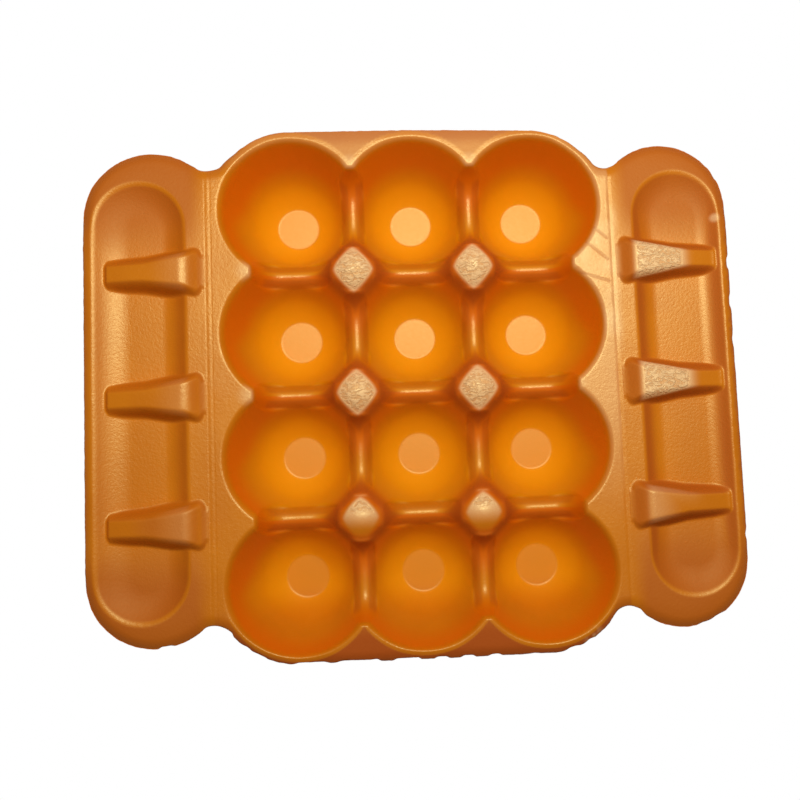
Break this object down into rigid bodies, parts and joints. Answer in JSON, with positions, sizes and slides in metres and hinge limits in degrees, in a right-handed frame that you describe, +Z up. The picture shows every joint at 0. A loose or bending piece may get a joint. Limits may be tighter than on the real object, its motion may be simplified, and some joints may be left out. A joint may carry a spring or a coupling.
{
  "type": "foam egg tray",
  "caption": "Pressed foam egg tray with round cups joined by dipped webs and a ribbed flap along each long side that folds up beside the eggs.",
  "frame": {"origin": "on the table under the middle of the open tray", "axes": "+X across the columns from the left flap to the right flap, +Y along the rows, +Z up out of the cups"},
  "size_m": [0.2462, 0.2012, 0.041],
  "materials": {
    "foam": "orange polystyrene foam, satin skin with a fine pebble grain"
  },
  "bodies": {
    "tray": {"egg_tray": "foam"},
    "left_flap": {"left_flap": "foam"},
    "right_flap": {"right_flap": "foam"}
  },
  "joints": [
    {"name": "left_fold", "type": "hinge", "parent": "tray", "child": "left_flap", "pos_m": [-0.07681, 0, 0.03557], "axis": [0, 1, 0], "range_deg": [0, 120]},
    {"name": "right_fold", "type": "hinge", "parent": "tray", "child": "right_flap", "pos_m": [0.07681, 0, 0.03557], "axis": [0, -1, 0], "range_deg": [0, 120]}
  ]
}
